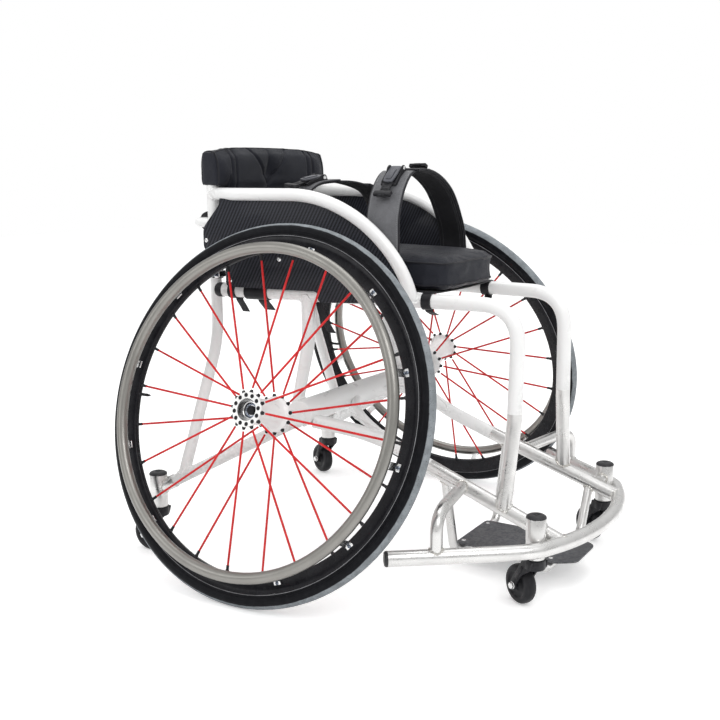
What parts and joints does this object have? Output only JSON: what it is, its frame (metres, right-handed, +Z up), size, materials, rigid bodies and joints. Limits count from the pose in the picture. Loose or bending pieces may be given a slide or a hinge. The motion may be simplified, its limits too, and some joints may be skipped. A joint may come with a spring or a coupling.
{
  "type": "court sports wheelchair",
  "caption": "Rigid court sports wheelchair with cambered spoked wheels, tube frame, front bumper ring, swivel casters, carbon side guards, low backrest, cushion and ratchet straps.",
  "frame": {"origin": "on the floor, under the middle of the chair's bounding box", "axes": "+Z up; -Y is the way the chair faces; +X is the seated user's left"},
  "size_m": [0.883, 0.828, 0.7398],
  "materials": {
    "white_paint": "gloss white powder coat",
    "bare_aluminium": "brushed, uncoated",
    "bright_metal": "polished",
    "handrim_metal": "satin grey-brown anodised",
    "hub_and_spokes": "white hub, red fibre spokes with black end sleeves",
    "black_rim": "gloss black",
    "tyre_rubber": "black sidewall, grey tread",
    "caster_rubber": "satin black",
    "black_plastic": "matte black",
    "black_foam": "matte foam",
    "footplate_grey": "matte grit",
    "carbon_weave": "clear-coated carbon twill",
    "dark_fabric": "near-black woven cover",
    "webbing": "black webbing"
  },
  "bodies": {
    "frame": {"axle_beam": "white_paint", "seat_rail_right": "white_paint", "seat_rail_left": "white_paint", "guard_tube_right": "white_paint", "guard_tube_left": "white_paint", "side_member_right": "white_paint", "side_member_left": "white_paint", "rear_member_right": "white_paint", "rear_member_left": "white_paint", "back_bar": "white_paint", "lower_rail_right": "bare_aluminium", "lower_rail_left": "bare_aluminium", "bumper_brace_right": "bare_aluminium", "bumper_brace_left": "bare_aluminium", "bumper_ring": "bare_aluminium", "front_hoop": "bare_aluminium", "rear_hoop": "bare_aluminium", "rear_barrel_right": "bare_aluminium", "rear_barrel_left": "bare_aluminium", "front_barrel_cap_right": "black_plastic", "front_barrel_cap_left": "black_plastic", "rear_barrel_cap_right": "black_plastic", "rear_barrel_cap_left": "black_plastic", "ring_plug_right": "black_plastic", "ring_plug_left": "black_plastic", "footplate": "footplate_grey", "side_guard_right": "carbon_weave", "side_guard_left": "carbon_weave", "back_bar_sleeve": "black_foam", "back_upholstery": "dark_fabric", "cushion": "dark_fabric", "seat_sling": "webbing", "hip_strap": "webbing", "thigh_strap": "webbing", "axle_pin_right": "bright_metal", "axle_pin_left": "bright_metal"},
    "wheel_right": {"tyre_right": "tyre_rubber", "rim_right": "black_rim", "spoked_hub_right": "hub_and_spokes", "hub_bearings_right": "bright_metal", "handrim_right": "handrim_metal"},
    "wheel_left": {"tyre_left": "tyre_rubber", "rim_left": "black_rim", "spoked_hub_left": "hub_and_spokes", "hub_bearings_left": "bright_metal", "handrim_left": "handrim_metal"},
    "front_fork_right": {"front_caster_right_fork": "black_plastic"},
    "front_fork_left": {"front_caster_left_fork": "black_plastic"},
    "rear_fork_right": {"rear_caster_right_fork": "black_plastic"},
    "rear_fork_left": {"rear_caster_left_fork": "black_plastic"},
    "front_roller_right": {"front_caster_right_wheel": "caster_rubber"},
    "front_roller_left": {"front_caster_left_wheel": "caster_rubber"},
    "rear_roller_right": {"rear_caster_right_wheel": "caster_rubber"},
    "rear_roller_left": {"rear_caster_left_wheel": "caster_rubber"},
    "button_right": {"release_button_right": "black_plastic"},
    "button_left": {"release_button_left": "black_plastic"},
    "hip_lever": {"hip_buckle_lever": "bright_metal"},
    "near_thigh_lever": {"near_thigh_buckle_lever": "bright_metal"},
    "far_thigh_lever": {"far_thigh_buckle_lever": "bright_metal"}
  },
  "joints": [
    {"name": "wheel_right_spin", "type": "hinge", "parent": "frame", "child": "wheel_right", "pos_m": [-0.313, 0.0925, 0.30544], "axis": [-0.9527, 0, 0.304], "continuous": true},
    {"name": "wheel_left_spin", "type": "hinge", "parent": "frame", "child": "wheel_left", "pos_m": [0.313, 0.0925, 0.30544], "axis": [0.9527, 0, 0.304], "continuous": true},
    {"name": "front_swivel_right", "type": "hinge", "parent": "frame", "child": "front_fork_right", "pos_m": [-0.171, -0.3398, 0.0895], "axis": [0, 0, 1], "continuous": true},
    {"name": "front_swivel_left", "type": "hinge", "parent": "frame", "child": "front_fork_left", "pos_m": [0.171, -0.3398, 0.0895], "axis": [0, 0, 1], "continuous": true},
    {"name": "rear_swivel_right", "type": "hinge", "parent": "frame", "child": "rear_fork_right", "pos_m": [-0.2847, 0.355, 0.0895], "axis": [0, 0, 1], "continuous": true},
    {"name": "rear_swivel_left", "type": "hinge", "parent": "frame", "child": "rear_fork_left", "pos_m": [0.2847, 0.355, 0.0895], "axis": [0, 0, 1], "continuous": true},
    {"name": "front_roller_right_spin", "type": "hinge", "parent": "front_fork_right", "child": "front_roller_right", "pos_m": [-0.15297, -0.3098, 0.033], "axis": [0.8572, -0.515, 0], "continuous": true},
    {"name": "front_roller_left_spin", "type": "hinge", "parent": "front_fork_left", "child": "front_roller_left", "pos_m": [0.18903, -0.3098, 0.033], "axis": [0.8572, -0.515, 0], "continuous": true},
    {"name": "rear_roller_right_spin", "type": "hinge", "parent": "rear_fork_right", "child": "rear_roller_right", "pos_m": [-0.2847, 0.381, 0.033], "axis": [1, 0, 0], "continuous": true},
    {"name": "rear_roller_left_spin", "type": "hinge", "parent": "rear_fork_left", "child": "rear_roller_left", "pos_m": [0.29569, 0.37856, 0.033], "axis": [0.9063, -0.4226, 0], "continuous": true},
    {"name": "release_press_right", "type": "slide", "parent": "frame", "child": "button_right", "axis": [0.9527, 0, -0.304], "range_m": [0, 0.004], "stiffness_N_per_m": 400},
    {"name": "release_press_left", "type": "slide", "parent": "frame", "child": "button_left", "axis": [-0.9527, 0, -0.304], "range_m": [0, 0.004], "stiffness_N_per_m": 400},
    {"name": "hip_lever_lift", "type": "hinge", "parent": "frame", "child": "hip_lever", "pos_m": [-0.08267, 0.1245, 0.68553], "axis": [0.3401, 0.9382, 0.0648], "range_deg": [0, 75], "stiffness_Nm_per_rad": 0.03},
    {"name": "near_thigh_lever_lift", "type": "hinge", "parent": "frame", "child": "near_thigh_lever", "pos_m": [-0.07101, -0.02645, 0.70073], "axis": [0.008, 0.9999, 0.0064], "range_deg": [0, 75], "stiffness_Nm_per_rad": 0.03},
    {"name": "far_thigh_lever_lift", "type": "hinge", "parent": "frame", "child": "far_thigh_lever", "pos_m": [0.04434, -0.04115, 0.67953], "axis": [0.0516, 0.9983, -0.0257], "range_deg": [0, 75], "stiffness_Nm_per_rad": 0.03}
  ]
}
